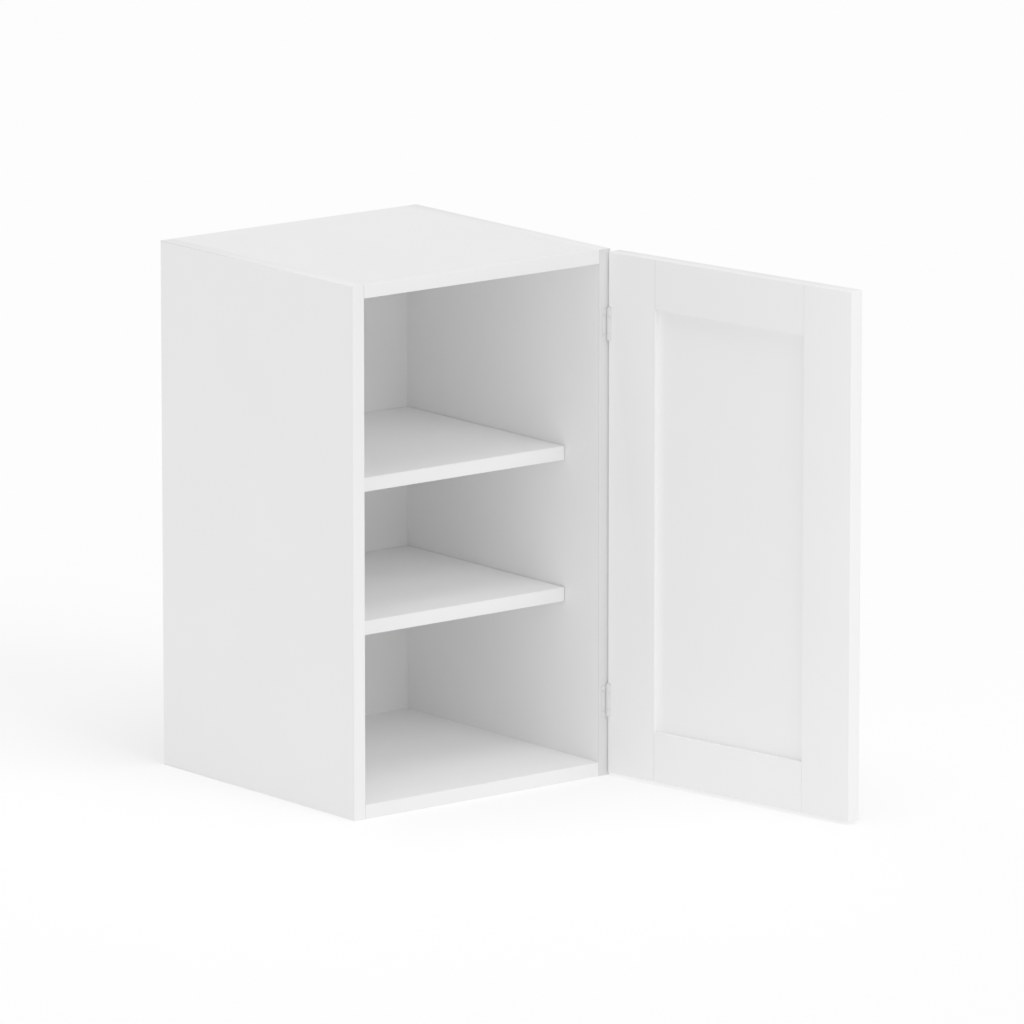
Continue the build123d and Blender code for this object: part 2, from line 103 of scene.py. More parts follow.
# Hinge
LEAF = 1.0 * MM
LEAF_PROUD = 0.2 * MM
LEAF_CORNER = 1.5 * MM
LEAF_CORNER_STEPS = 6
KNUCKLE_END = 8.0 * MM  # length of the knuckles at the two ends of the barrel
KNUCKLE_GAP = 0.2 * MM
KNUCKLE_ROOM = 0.2 * MM
KNUCKLE_EASE = 0.25 * MM
MORTISE_SLACK = 0.15 * MM
PIN_R = 1.5 * MM
PIN_SLACK = 0.03 * MM
PIN_EASE = 0.2 * MM
DOME_STEPS = 10
SCREW_HEAD_R = 1.9 * MM
SCREW_HEAD = 1.2 * MM
SCREW_SHANK_R = 1.0 * MM
SCREW_SLACK = 0.1 * MM
SCREW_LENGTH = 12.0 * MM
SCREW_POINT = 2.0 * MM
SCREW_TIP_R = 0.18 * MM
THREAD_TURNS = 7
THREAD_PITCH = 1.1 * MM
THREAD_DEPTH = 0.28 * MM
CROSS_RECESS = Vector((1.15, 0.25, 0.9)) * MM  # half its length, half its width, its depth

# Studio: the room's own light, and wide soft lights as (name, azimuth, elevation, width, strength),
# with the angles in degrees and azimuth 0 in front of the cabinet
ROOM_LIGHT = 0.28
SOFT_BOXES = (
    ("overhead", 0, 88, 60, 1.43),
    ("front", 5, 35, 30, 0.66),
    ("front_left", -15, 30, 40, 0.15),
    ("left", -70, 30, 60, 0.34),
)
FLOOR_GLOW = 0.42
FLOOR_SIZE = 80.0
FLOOR_DROP = 0.5 * MM
GAMMA = 1.5

# Camera
EYE_AZIMUTH = math.radians(-38.52)
EYE_ELEVATION = math.radians(11.93)
EYE_DISTANCE = 12.13
EYE_AIM = Vector((0.0108, -0.2176, 0.0299))  # from the middle of the carcass to the middle of the view
LENS = 380.1
EYE_REACH = 200.0  # nothing beyond this is drawn

SIDES = ("left", "right")
HINGES = ("upper", "lower")
SHELVES = ("upper", "lower")
CAM_PANELS = ("top", "bottom")

door_joint = next(j for j in frame["joints"] if j["name"] == "door_hinge")
HINGE_AXIS = Vector(door_joint["pos_m"])
OPEN_ANGLE = -math.radians(door_joint["range_deg"][0])  # the low limit is the closed door
OPENED = (
    Matrix.Translation(HINGE_AXIS)
    @ Matrix.Rotation(OPEN_ANGLE, 4, "Z")
    @ Matrix.Translation(-HINGE_AXIS)
)
CLOSED = OPENED.inverted()


# Node helpers for the materials


class Nodes:
    """A new material's node tree, with short calls that add and link nodes."""

    def __init__(self, name):
        self.material = bpy.data.materials.new(name)
        self.material.use_nodes = True
        self.tree = self.material.node_tree
        self.shader = self.tree.nodes["Principled BSDF"]
        self.where = self.tree.nodes.new("ShaderNodeTexCoord")

    def add(self, kind, inputs=None, **settings):
        """Adds a node. inputs maps a socket's name to a number, a colour or another socket."""
        node = self.tree.nodes.new("ShaderNode" + kind)
        for key, value in settings.items():
            setattr(node, key, value)
        for key, value in (inputs or {}).items():
            self.feed(node.inputs[key], value)
        return node

    def feed(self, socket, value):
        """Sets a socket, or links it when the value is an output socket."""
        if isinstance(value, bpy.types.NodeSocket):
            self.tree.links.new(value, socket)
        else:
            socket.default_value = value

    def noise(self, scale, detail=3.0, roughness=0.5, stretch=(1, 1, 1)):
        """Noise over the piece's own coordinates. scale is in features per metre."""
        mapping = self.add("Mapping", {"Vector": self.where.outputs["Object"], "Scale": stretch})
        vector = mapping.outputs["Vector"]
        node = self.add(
            "TexNoise", {"Vector": vector, "Scale": scale, "Detail": detail, "Roughness": roughness}
        )
        return node.outputs["Fac"]

    def cells(self, scale, feature="F1", stretch=(1, 1, 1)):
        """Voronoi cells over the piece's own coordinates."""
        mapping = self.add("Mapping", {"Vector": self.where.outputs["Object"], "Scale": stretch})
        vector = mapping.outputs["Vector"]
        return self.add("TexVoronoi", {"Vector": vector, "Scale": scale}, feature=feature)

    def ranged(self, value, low, high, to_low, to_high):
        """Maps a value from one range to another."""
        node = self.add(
            "MapRange",
            {"Value": value, "From Min": low, "From Max": high, "To Min": to_low, "To Max": to_high},
        )
        return node.outputs["Result"]

    def ramp(self, value, *stops):
        """A colour ramp with the given (position, colour) stops."""
        node = self.add("ValToRGB", {"Fac": value})
        elements = node.color_ramp.elements
        while len(elements) < len(stops):
            elements.new(0.5)
        for element, (position, colour) in zip(elements, stops):
            element.position = position
            element.color = (*colour, 1)
        return node.outputs["Color"]

    def mix(self, factor, first, second):
        """Mixes two colours."""
        node = self.add("Mix", data_type="RGBA")
        self.feed(node.inputs["Factor"], factor)
        self.feed(node.inputs["A"], colour_of(first))
        self.feed(node.inputs["B"], colour_of(second))
        return node.outputs["Result"]

    def bump(self, *layers):
        """Stacks bumps. Each layer is (height, distance in metres, strength)."""
        normal = None
        for height, distance, strength in layers:
            node = self.add("Bump", {"Height": height, "Distance": distance, "Strength": strength})
            if normal is not None:
                self.feed(node.inputs["Normal"], normal)
            normal = node.outputs["Normal"]
        self.feed(self.shader.inputs["Normal"], normal)

    def finish(self, colour, roughness, **constants):
        """Sets the shader's colour and roughness, and numbers on its other sockets."""
        self.feed(self.shader.inputs["Base Color"], colour)
        self.feed(self.shader.inputs["Roughness"], roughness)
        for key, value in constants.items():
            self.shader.inputs[key.replace("_", " ")].default_value = value
        return self.material


def colour_of(value):
    """A colour with its alpha, or the socket as it is."""
    return value if isinstance(value, bpy.types.NodeSocket) else (*value, 1)


# Materials


def white_melamine():
    """White melamine paper on chipboard: a fine pressed texture with a faint cloudiness."""
    n = Nodes("white_melamine")
    cloud = n.noise(9.0, 2.0)
    grain = n.noise(1600.0, 2.0, 0.6)
    dimples = n.cells(900.0, "SMOOTH_F1").outputs["Distance"]
    colour = n.ramp(cloud, (0.3, (0.890, 0.890, 0.888)), (0.7, (0.904, 0.904, 0.902)))
    n.bump((dimples, 0.00002, 0.35), (grain, 0.00001, 0.3))
    roughness = n.ranged(n.noise(60.0, 3.0), 0.3, 0.7, 0.44, 0.52)
    return n.finish(colour, roughness, Specular_IOR_Level=0.4)


def white_band(name, dark, light):
    """White edge band, a little smoother than the melamine, with faint scraper marks along it."""
    n = Nodes(name)
    cloud = n.noise(14.0, 2.0)
    scraped = n.noise(700.0, 2.0, 0.6, stretch=(0.03, 1, 1))
    colour = n.ramp(cloud, (0.3, dark), (0.7, light))
    n.bump((scraped, 0.00001, 0.3))
    return n.finish(colour, n.ranged(scraped, 0.3, 0.7, 0.36, 0.46), Specular_IOR_Level=0.45)


def white_lacquer():
    """Sprayed satin lacquer: a soft orange peel, with a trace of dust in the film."""
    n = Nodes("white_lacquer")
    cloud = n.noise(7.0, 2.0)
    peel = n.noise(420.0, 1.5, 0.4)
    dust = n.ranged(n.cells(260.0).outputs["Distance"], 0.03, 0.09, 1.0, 0.0)
    colour = n.ramp(cloud, (0.3, (0.922, 0.922, 0.920)), (0.7, (0.934, 0.934, 0.932)))
    n.bump((peel, 0.00006, 0.35), (dust, 0.00002, 0.2))
    roughness = n.ranged(n.noise(35.0, 3.0), 0.3, 0.7, 0.38, 0.47)
    return n.finish(colour, roughness, Specular_IOR_Level=0.45, Coat_Weight=0.08, Coat_Roughness=0.3)


def raw_chipboard():
    """The cut edge of chipboard: pressed flakes with dark gaps between them."""
    n = Nodes("raw_chipboard")
    flakes = n.cells(330.0, stretch=(1, 1, 0.45))
    tone = n.add("SeparateColor", {"Color": flakes.outputs["Color"]}).outputs["Red"]
    colour = n.ramp(
        tone, (0.0, (0.22, 0.12, 0.055)), (0.45, (0.42, 0.27, 0.14)), (1.0, (0.56, 0.40, 0.23))
    )
    gaps = n.ranged(flakes.outputs["Distance"], 0.35, 0.6, 0.0, 0.75)
    n.bump((flakes.outputs["Distance"], 0.0004, -0.6), (n.noise(2500.0), 0.0001, 0.4))
    return n.finish(n.mix(gaps, colour, (0.07, 0.035, 0.018)), 0.85)


def hardboard():
    """Hardboard: painted white on the face inside the cabinet, bare brown with a mesh print behind."""
    n = Nodes("hardboard")
    turned = n.add("SeparateXYZ", {"Vector": n.where.outputs["Normal"]}).outputs["Y"]
    rear = n.ranged(turned, -0.9, -0.8, 0.0, 1.0)
    fibres = n.noise(900.0, 4.0, 0.7, stretch=(1, 1, 0.5))
    brown = n.ramp(fibres, (0.3, (0.105, 0.052, 0.025)), (0.7, (0.20, 0.112, 0.056)))
    white = n.ramp(n.noise(12.0, 2.0), (0.3, (0.876, 0.876, 0.873)), (0.7, (0.890, 0.890, 0.887)))
    weave = [
        n.add("TexWave", {"Vector": n.where.outputs["Object"], "Scale": 160.0}, bands_direction=axis)
        for axis in ("X", "Z")
    ]
    crossing = n.add(
        "Math",
        {0: weave[0].outputs["Fac"], 1: weave[1].outputs["Fac"]},
        operation="MULTIPLY",
    ).outputs["Value"]
    print_height = n.add("Math", {0: crossing, 1: rear}, operation="MULTIPLY").outputs["Value"]
    n.bump((print_height, 0.0002, 0.7), (fibres, 0.00003, 0.3))
    return n.finish(n.mix(rear, white, brown), n.ranged(rear, 0.0, 1.0, 0.5, 0.8))


def pale_steel_with_painted_shade():
    """Pale powder coat on the small hinges, greyed with painted shade to match the shaded band beside them."""
    n = Nodes("pale_steel_with_painted_shade")
    specks = n.noise(2200.0, 2.0, 0.5)
    colour = n.ramp(n.noise(120.0), (0.3, (0.67, 0.67, 0.665)), (0.7, (0.70, 0.70, 0.695)))
    n.bump((specks, 0.00002, 0.4))
    return n.finish(colour, n.ranged(specks, 0.3, 0.7, 0.3, 0.42), Specular_IOR_Level=0.5)


def bare_metal(name, dark, light, rough_low, rough_high, grain, depth):
    """Plain metal, with a fine unevenness in its colour, gloss and surface."""
    n = Nodes(name)
    fine = n.noise(grain, 3.0, 0.6)
    colour = n.ramp(n.noise(300.0), (0.3, dark), (0.7, light))
    n.bump((fine, depth, 0.4))
    return n.finish(colour, n.ranged(fine, 0.3, 0.7, rough_low, rough_high), Metallic=1.0)


def beech():
    """Beech: warm wood with short darker flecks along the dowel."""
    n = Nodes("beech")
    rings = n.noise(500.0, 3.0, 0.6, stretch=(0.08, 1, 1))
    flecks = n.ranged(n.cells(900.0, stretch=(0.2, 1, 1)).outputs["Distance"], 0.1, 0.25, 0.6, 0.0)
    colour = n.ramp(rings, (0.3, (0.42, 0.25, 0.13)), (0.7, (0.58, 0.38, 0.22)))
    n.bump((rings, 0.00008, 0.4))
    return n.finish(n.mix(flecks, colour, (0.26, 0.14, 0.07)), 0.65)


def pale_floor():
    """The plain floor of the studio, lit a little from below like a light table."""
    n = Nodes("pale_floor")
    colour = n.ramp(n.noise(1.5, 2.0), (0.3, (0.597, 0.597, 0.597)), (0.7, (0.603, 0.603, 0.603)))
    n.shader.inputs["Emission Color"].default_value = (1, 1, 1, 1)
    roughness = n.ranged(n.noise(20.0), 0.3, 0.7, 0.7, 0.8)
    return n.finish(colour, roughness, Specular_IOR_Level=0.1, Emission_Strength=FLOOR_GLOW)


MELAMINE = white_melamine()
# These bands are a darker copy of the end bands' white: painted shade that tones down the front light on them.
SHADED_BAND = white_band("white_edge_band_shaded", (0.834, 0.834, 0.831), (0.848, 0.848, 0.845))
END_BAND = white_band("white_end_band", (0.908, 0.908, 0.906), (0.920, 0.920, 0.918))
# The right side's front band is painted grey: painted shade, standing in for the open door's shade on it.
HINGE_SIDE_SHADED_BAND = white_band("hinge_side_band_painted_shade", (0.653, 0.653, 0.650), (0.667, 0.667, 0.664))
LACQUER = white_lacquer()
CHIPBOARD = raw_chipboard()
HARDBOARD = hardboard()
# The hinges' coat is darkened with painted shade, like the band beside them.
HINGE_PAINT_AND_SHADE = pale_steel_with_painted_shade()
NICKEL = bare_metal("nickel_plate", (0.60, 0.585, 0.55), (0.68, 0.665, 0.63), 0.2, 0.32, 1800.0, 0.000008)
ZINC = bare_metal("die_cast_zinc", (0.43, 0.44, 0.45), (0.53, 0.54, 0.55), 0.42, 0.6, 1200.0, 0.00004)
PLATED = bare_metal("zinc_plated_steel", (0.52, 0.53, 0.55), (0.62, 0.62, 0.62), 0.28, 0.42, 1500.0, 0.00001)
BEECH = beech()
FLOOR = pale_floor()


# Mesh helpers


def add_box(bm, first, second):
    """Adds a box between two opposite corners to a bmesh."""
    first, second = Vector(first), Vector(second)
    made = bmesh.ops.create_cube(bm, size=1.0)
    for v in made["verts"]:
        v.co = Vector((first[i] + (v.co[i] + 0.5) * (second[i] - first[i]) for i in range(3)))


def add_cross(bm, spot, half_length, half_width, depth):
    """Adds a cross-shaped bar about a spot, that reaches this deep to both sides along Z."""
    arm = [(half_length, -half_width), (half_length, half_width), (half_width, half_width)]
    outline = []
    for _ in range(4):
        outline += arm
        arm = [(-y, x) for x, y in arm]
    low, high = (
        [bm.verts.new(spot + Vector((x, y, z))) for x, y in outline] for z in (-depth, depth)
    )
    bm.faces.new(low)
    bm.faces.new(high)
    for i in range(len(outline)):
        bm.faces.new((low[i - 1], low[i], high[i], high[i - 1]))


def add_lathe(bm, profile, steps=ROUND_STEPS):
    """Adds the solid that (radius, height) points make when turned about Z. Ends lie on the axis."""
    rings = []
    for radius, height in profile:
        if radius == 0:
            rings.append([bm.verts.new((0, 0, height))])
            continue
        turns = [2 * math.pi * i / steps for i in range(steps)]
        rings.append([bm.verts.new((radius * math.cos(t), radius * math.sin(t), height)) for t in turns])
    for low, high in zip(rings, rings[1:]):
        for i in range(steps):
            j = (i + 1) % steps
            corners = [low[i % len(low)], low[j % len(low)], high[j % len(high)], high[i % len(high)]]
            bm.faces.new(list(dict.fromkeys(corners)))
    return [v for ring in rings for v in ring]


def add_rod(bm, start, along, radius, length, steps=ROUND_STEPS):
    """Adds a round bar that begins at start and runs in the direction along."""
    made = add_lathe(bm, [(0, 0), (radius, 0), (radius, length), (0, length)], steps)
    turn(bm, made, start, along)


def turn(bm, verts, start, along):
    """Turns vertices made about Z so that they run from start in the direction along."""
    spin = Vector((0, 0, 1)).rotation_difference(Vector(along)).to_matrix().to_4x4()
    bmesh.ops.transform(bm, matrix=Matrix.Translation(Vector(start)) @ spin, verts=verts)


def round_edges(bm, width, wanted, steps=4):
    """Rounds the edges of a bmesh for which wanted(middle point) is true."""
    edges = [e for e in bm.edges if wanted((e.verts[0].co + e.verts[1].co) / 2)]
    bmesh.ops.bevel(bm, geom=edges, offset=width, segments=steps, profile=0.5, affect="EDGES",
                    clamp_overlap=True)


def as_object(name, bm, *materials):
    """Turns a bmesh into a linked object with smooth faces."""
    bmesh.ops.recalc_face_normals(bm, faces=bm.faces)
    mesh = bpy.data.meshes.new(name)
    bm.to_mesh(mesh)
    bm.free()
    for material in materials:
        mesh.materials.append(material)
    mesh.shade_smooth()
    piece = bpy.data.objects.new(name, mesh)
    bpy.context.scene.collection.objects.link(piece)
    return piece


def combine(piece, bm, operation):
    """Cuts the shape in bm out of a piece, or adds it, and keeps the result as the piece's mesh."""
    tool = as_object("tool", bm)
    step = piece.modifiers.new("step", "BOOLEAN")
    step.operation = operation
    step.object = tool
    step.solver = "EXACT"
    bpy.context.view_layer.update()
    found = piece.evaluated_get(bpy.context.evaluated_depsgraph_get())
    mesh = bpy.data.meshes.new_from_object(found)
    piece.modifiers.clear()
    piece.data = mesh
    bpy.data.objects.remove(tool)
    return piece


def cut(piece, bm):
    """Cuts the shape in bm out of a piece."""
    return combine(piece, bm, "DIFFERENCE")


def ease(piece, width, steps=3):
    """Rounds every edge that is still sharp."""
    step = piece.modifiers.new("ease", "BEVEL")
    step.width = width
    step.segments = steps
    step.limit_method = "ANGLE"
    step.angle_limit = SHARP
    step.harden_normals = True
    return piece


def paint_faces(piece, index, wanted):
    """Gives a material index to the faces whose centre and normal wanted(centre, normal) accepts."""
    for face in piece.data.polygons:
        if wanted(face.center, face.normal):
            face.material_index = index


def place(piece, body, slot, *nodes):
    """Hands a finished piece to the frame."""
    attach(piece, body)
    if nodes:
        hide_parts(*nodes)
    return piece


def closed_box(node):
    """The corners of a door node's box with the door shut."""
    points = [CLOSED @ v.co for v in frame["nodes"][node].data.vertices]
    lo = Vector(min(p[i] for p in points) for i in range(3))
    hi = Vector(max(p[i] for p in points) for i in range(3))
    return lo, hi


# Carcass boards and bands


def board(name, node, raw_ends=False):
    """A melamine board, with bare chipboard on its rear edge and, if asked, on its two ends."""
    lo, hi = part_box(node)
    bm = bmesh.new()
    add_box(bm, lo, hi)
    piece = as_object(name, bm, MELAMINE, CHIPBOARD)
    paint_faces(piece, 1, lambda centre, normal: normal.y > 0.9 or (raw_ends and abs(normal.x) > 0.9))
    return piece


def sides():
    """The two sides."""
    for side in SIDES:
        node = f"side_panel_{side}"
        piece = board(f"side_{side}", node)
        cut(piece, back_rebate())
        cut(piece, pin_holes())
        place(ease(piece, COVERED_EASE, 2), "carcass", "melamine_board", node)


def back_rebate():
    """The room for the back in the boards, a little larger than the back itself."""
    lo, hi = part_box("back_panel")
    bm = bmesh.new()
    add_box(bm, lo - Vector((BACK_SLACK, 0, BACK_SLACK)), hi + Vector((BACK_SLACK, CLEAR, BACK_SLACK)))
    return bm


def pin_holes():
    """The holes for the shelf pins: bars right across the cabinet, that reach as deep as the pins."""
    bm = bmesh.new()
    for shelf in SHELVES:
        lo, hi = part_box(f"shelf_pins_{shelf}")
        for y, z in pin_axes(shelf):
            add_rod(bm, (lo.x, y, z), (1, 0, 0), SHELF_PIN_HOLE_R, hi.x - lo.x, HOLE_STEPS)
    return bm


def pin_axes(shelf):
    """How far back and how high the pins of a shelf are."""
    lo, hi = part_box(f"shelf_pins_{shelf}")
    middle = (lo.z + hi.z) / 2
    return [(lo.y + SHELF_PIN_COLLAR_R, middle), (hi.y - SHELF_PIN_COLLAR_R, middle)]


def cross_panels():
    """The top and bottom panels, bored on their undersides for the cam locks."""
    for panel in CAM_PANELS:
        node = f"{panel}_panel"
        piece = board(f"{panel}_board", node)
        cut(piece, back_rebate())
        bm = bmesh.new()
        for spot in cam_spots(panel):
            add_rod(bm, spot - Vector((0, 0, CLEAR)), (0, 0, 1), CAM_HOLE_R, CLEAR + CAM_HOLE_DEPTH)
        cut(piece, bm)
        place(ease(piece, COVERED_EASE, 2), "carcass", "melamine_board", node)


def cam_spots(panel):
    """Where the cam locks' axes leave the underside of a panel."""
    lo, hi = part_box(f"cam_locks_{panel}")
    return [Vector((x, y, lo.z)) for x in (lo.x + CAM_R, hi.x - CAM_R) for y in (lo.y + CAM_R, hi.y - CAM_R)]


def band_strip(name, lo, hi, along, material=SHADED_BAND):
    """An edge band whose two long front arrises are rounded."""
    bm = bmesh.new()
    add_box(bm, lo, hi)
    ends = (lo[along], hi[along])

    def long_front(p):
        return abs(p.y - lo.y) < TINY and all(abs(p[along] - end) > TINY for end in ends)

    round_edges(bm, BAND_EASE, long_front)
    return as_object(name, bm, material)


def side_bands():
    """The bands of the sides: a strip up the front, greyer beside the hinges with painted shade, and a cap on each
    end.
    """
    for side, material in (("left", SHADED_BAND), ("right", HINGE_SIDE_SHADED_BAND)):
        node = f"edge_band_side_{side}"
        lo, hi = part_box(node)
        corner = Vector((hi.x, lo.y + BAND_THICKNESS, hi.z))
        piece = band_strip(f"side_band_{side}", lo, corner, 2, material)
        if side == "right":
            for name in HINGES:
                cut(piece, mortise(name, cabinet_plate(name)))
        place(ease(piece, BAND_END_EASE, 2), "carcass", "edge_band", node)

        front = lo.y + BAND_THICKNESS + CAP_GAP
        ends = bmesh.new()
        add_box(ends, (lo.x, front, hi.z - BAND_THICKNESS), hi)
        add_box(ends, (lo.x, front, lo.z), (hi.x, hi.y, lo.z + BAND_THICKNESS))
        round_edges(ends, CAP_EASE, lambda p, lo=lo, hi=hi: min(hi.z - p.z, p.z - lo.z) < TINY)
        place(as_object(f"side_band_ends_{side}", ends, END_BAND), "carcass", "edge_band", node)


def front_bands():
    """The bands on the fronts of the top and bottom panels and under the hanging rail."""
    for panel in CAM_PANELS:
        node = f"edge_band_{panel}"
        lo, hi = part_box(node)
        slit = Vector((BAND_SLIT, 0, 0))
        piece = band_strip(f"{panel}_band", lo + slit, hi - slit, 0)
        place(ease(piece, COVERED_EASE, 2), "carcass", "edge_band", node)
    bm = bmesh.new()
    add_box(bm, *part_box("edge_band_rail"))
    place(ease(as_object("rail_band", bm, SHADED_BAND), CAP_EASE), "carcass", "edge_band", "edge_band_rail")


def hanging_rail():
    """The rail at the top of the back, with its four screw holes."""
    lo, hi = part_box("hanging_rail")
    bm = bmesh.new()
    add_box(bm, lo, hi)
    piece = as_object("hanging_rail_board", bm, MELAMINE)
    holes = bmesh.new()
    for x, z in wall_holes():
        add_rod(holes, (x, lo.y - CLEAR, z), (0, 1, 0), wall_hole_radius(), hi.y - lo.y + 2 * CLEAR)
    cut(piece, holes)
    place(ease(piece, BOARD_EASE), "carcass", "melamine_board", "hanging_rail")


def wall_mount():
    """The record's pattern of wall screws."""
    return next(m for m in frame["record"]["mounts"] if m["name"] == "wall_screws")


def wall_hole_radius():
    """The radius of a wall-screw hole."""
    return wall_mount()["dims"]["hole_r_mm"] * MM


def wall_holes():
    """The x and z of the four wall-screw holes."""
    dims = wall_mount()["dims"]
    x, _, z = wall_mount()["pos_m"]
    half_x = dims["spacing_x_mm"] * MM / 2
    half_z = dims["spacing_y_mm"] * MM / 2
    return [(x + sx * half_x, z + sz * half_z) for sx in (-1, 1) for sz in (-1, 1)]


def shelves():
    """The two loose shelves: a board with bare ends and a band on its front."""
    for shelf in SHELVES:
        body = f"shelf_{shelf}"
        node = f"shelf_{shelf}_board"
        piece = board(f"shelf_{shelf}_panel", node, raw_ends=True)
        place(ease(piece, BOARD_EASE), body, "melamine_board", node)
        node = f"shelf_{shelf}_edge_band"
        piece = band_strip(f"shelf_{shelf}_band", *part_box(node), 0)
        place(ease(piece, BAND_END_EASE, 2), body, "edge_band", node)


# Fittings


def shelf_pins():
    """Nickel-plated pins with a collar, flattened where the shelf lies."""
    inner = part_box("side_panel_right")[0].x
    for shelf in SHELVES:
        node = f"shelf_pins_{shelf}"
        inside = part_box(node)[1].x - inner
        bm = bmesh.new()
        for side in (-1, 1):
            for y, z in pin_axes(shelf):
                made = add_lathe(bm, shelf_pin_profile(inside))
                turn(bm, made, (side * inner, y, z), (-side, 0, 0))
                for v in made:
                    if side * v.co.x < inner - SHELF_PIN_COLLAR - TINY:
                        v.co.z = min(v.co.z, z + SHELF_PIN_FLAT)
        piece = as_object(f"shelf_pins_{shelf}_nickel", bm, NICKEL)
        place(ease(piece, METAL_EASE, 2), "carcass", "plated_steel", node)


def shelf_pin_profile(inside):
    """The (radius, height) points of a shelf pin, from its end in the side to its end under the shelf."""
    shank, edge = SHELF_PIN_R, SHELF_PIN_EDGE
    hidden = [(0, -inside), (shank - edge, -inside), (shank, -inside + edge), (shank, 0)]
    collar = [
        (SHELF_PIN_COLLAR_R, 0),
        (SHELF_PIN_COLLAR_R, SHELF_PIN_COLLAR - edge),
        (SHELF_PIN_COLLAR_R - edge, SHELF_PIN_COLLAR),
        (shank, SHELF_PIN_COLLAR),
    ]
    seen = [(shank, SHELF_PIN_REACH - edge), (shank - edge, SHELF_PIN_REACH), (0, SHELF_PIN_REACH)]
    return hidden + collar + seen


def cam_locks():
    """Cam locks with a rim, a cross slot, a pointer and the opening for the bolt's head."""
    for panel in CAM_PANELS:
        node = f"cam_locks_{panel}"
        locks = bmesh.new()
        openings = bmesh.new()
        for spot in cam_spots(panel):
            add_cam(locks, spot)
            add_cam_openings(openings, spot)
        piece = cut(as_object(f"cam_locks_{panel}_zinc", locks, ZINC), openings)
        place(ease(piece, METAL_EASE, 2), "carcass", "zinc_casting", node)


def add_cam(bm, spot):
    """Adds a cam lock with a shallow dish in its face."""
    face = [(0, CAM_DISH), (CAM_DISH_R, CAM_DISH), (CAM_DISH_R + CAM_RIM, 0), (CAM_R - CAM_RIM, 0)]
    body = [(CAM_R, CAM_RIM), (CAM_R, CAM_DEPTH - CAM_RIM), (CAM_R - CAM_RIM, CAM_DEPTH), (0, CAM_DEPTH)]
    turn(bm, add_lathe(bm, face + body), spot, (0, 0, 1))


def add_cam_openings(bm, spot):
    """Adds the cross slot in a cam's face, the pointer beside it, and the opening for the bolt's head."""
    out = math.copysign(1, spot.x)
    add_cross(bm, spot, *CAM_SLOT)
    pointer = spot + Vector((out * CAM_POINTER_OUT, 0, CAM_POINTER_FROM))
    add_rod(bm, pointer, (0, 0, 1), CAM_POINTER_R, CLEAR, TRIANGLE)
    near = spot + Vector((0, -BOLT_ROOM_HALF, BOLT_ROOM_FROM))
    add_box(bm, near, spot + Vector((out * (CAM_R + CLEAR), BOLT_ROOM_HALF, CAM_DEPTH + CLEAR)))


def carried_over():
    """CAD nodes whose shape is right keep it, and get a better material."""
    finishes = {
        "back_panel": HARDBOARD,
        "back_panel_nails": PLATED,
        "cam_bolts_top": PLATED,
        "cam_bolts_bottom": PLATED,
        "dowels_top": BEECH,
        "dowels_bottom": BEECH,
        "dowels_rail": BEECH,
    }
    for node, material in finishes.items():
        for slot in frame["nodes"][node].material_slots:
            slot.link = "OBJECT"
            slot.material = material


# Hinges, in the frame of the closed door


def hinge_span(name):
    """The bottom and top of a hinge."""
    lo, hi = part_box(f"hinge_leaf_cabinet_{name}")
    return lo.z, hi.z


def barrel_radius():
    """The radius of the knuckles."""
    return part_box("hinge_leaf_cabinet_upper")[1].x - HINGE_AXIS.x


def add_barrel_room(bm, name):
    """Adds the room for one hinge's barrel and finial."""
    bottom = hinge_span(name)[0] - MORTISE_SLACK
    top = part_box(f"hinge_pin_{name}")[1].z + MORTISE_SLACK
    add_rod(bm, (HINGE_AXIS.x, HINGE_AXIS.y, bottom), (0, 0, 1), barrel_radius() + KNUCKLE_ROOM,
            top - bottom)


def add_plate(bm, lo, hi, slack=0.0):
    """Adds a leaf's plate, thin along X or Y, with round corners at its edge far from the pin."""
    thin, wide = (0, 1) if hi.x - lo.x < hi.y - lo.y else (1, 0)
    grow = Vector((slack, slack, slack))
    grow[thin] = 0
    far = (lo - grow)[wide]
    add_box(bm, lo - grow, hi + grow)

    def corner(edge):
        a, b = (v.co for v in edge.verts)
        return abs(a[wide] - far) < TINY and abs(b[wide] - far) < TINY and abs(a.z - b.z) < TINY

    bmesh.ops.bevel(bm, geom=[e for e in bm.edges if corner(e)], offset=LEAF_CORNER,
                    segments=LEAF_CORNER_STEPS, profile=0.5, affect="EDGES")


def cabinet_plate(name):
    """The corners of the plate of the leaf on the carcass."""
    lo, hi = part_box(f"hinge_leaf_cabinet_{name}")
    return Vector((lo.x, hi.y - LEAF, lo.z)), Vector((HINGE_AXIS.x, hi.y, hi.z))


def door_plate(name):
    """The corners of the plate of the leaf on the door, with the door shut."""
    lo, _ = closed_box(f"hinge_leaf_door_{name}")
    low, high = hinge_span(name)
    out = closed_box("door_stile_hinge")[1].x + LEAF_PROUD
    return Vector((out - LEAF, lo.y, low)), Vector((out, HINGE_AXIS.y, high))


def mortise(name, plate):
    """The room for one hinge's plate and barrel."""
    bm = bmesh.new()
    add_plate(bm, *plate, MORTISE_SLACK)
    piece = as_object("room", bm)
    barrel = bmesh.new()
    add_barrel_room(barrel, name)
    combine(piece, barrel, "UNION")
    return taken(piece)


def taken(piece):
    """A piece's mesh as a bmesh, with the piece removed."""
    bm = bmesh.new()
    bm.from_mesh(piece.data)
    bpy.data.objects.remove(piece)
    return bm


def knuckle_spans(name, at_ends):
    """The barrel's stretches at its two ends (the cabinet leaf's), or the one between (the door leaf's)."""
    low, high = hinge_span(name)
    if at_ends:
        return [(low, low + KNUCKLE_END), (high - KNUCKLE_END, high)]
    return [(low + KNUCKLE_END + KNUCKLE_GAP, high - KNUCKLE_END - KNUCKLE_GAP)]


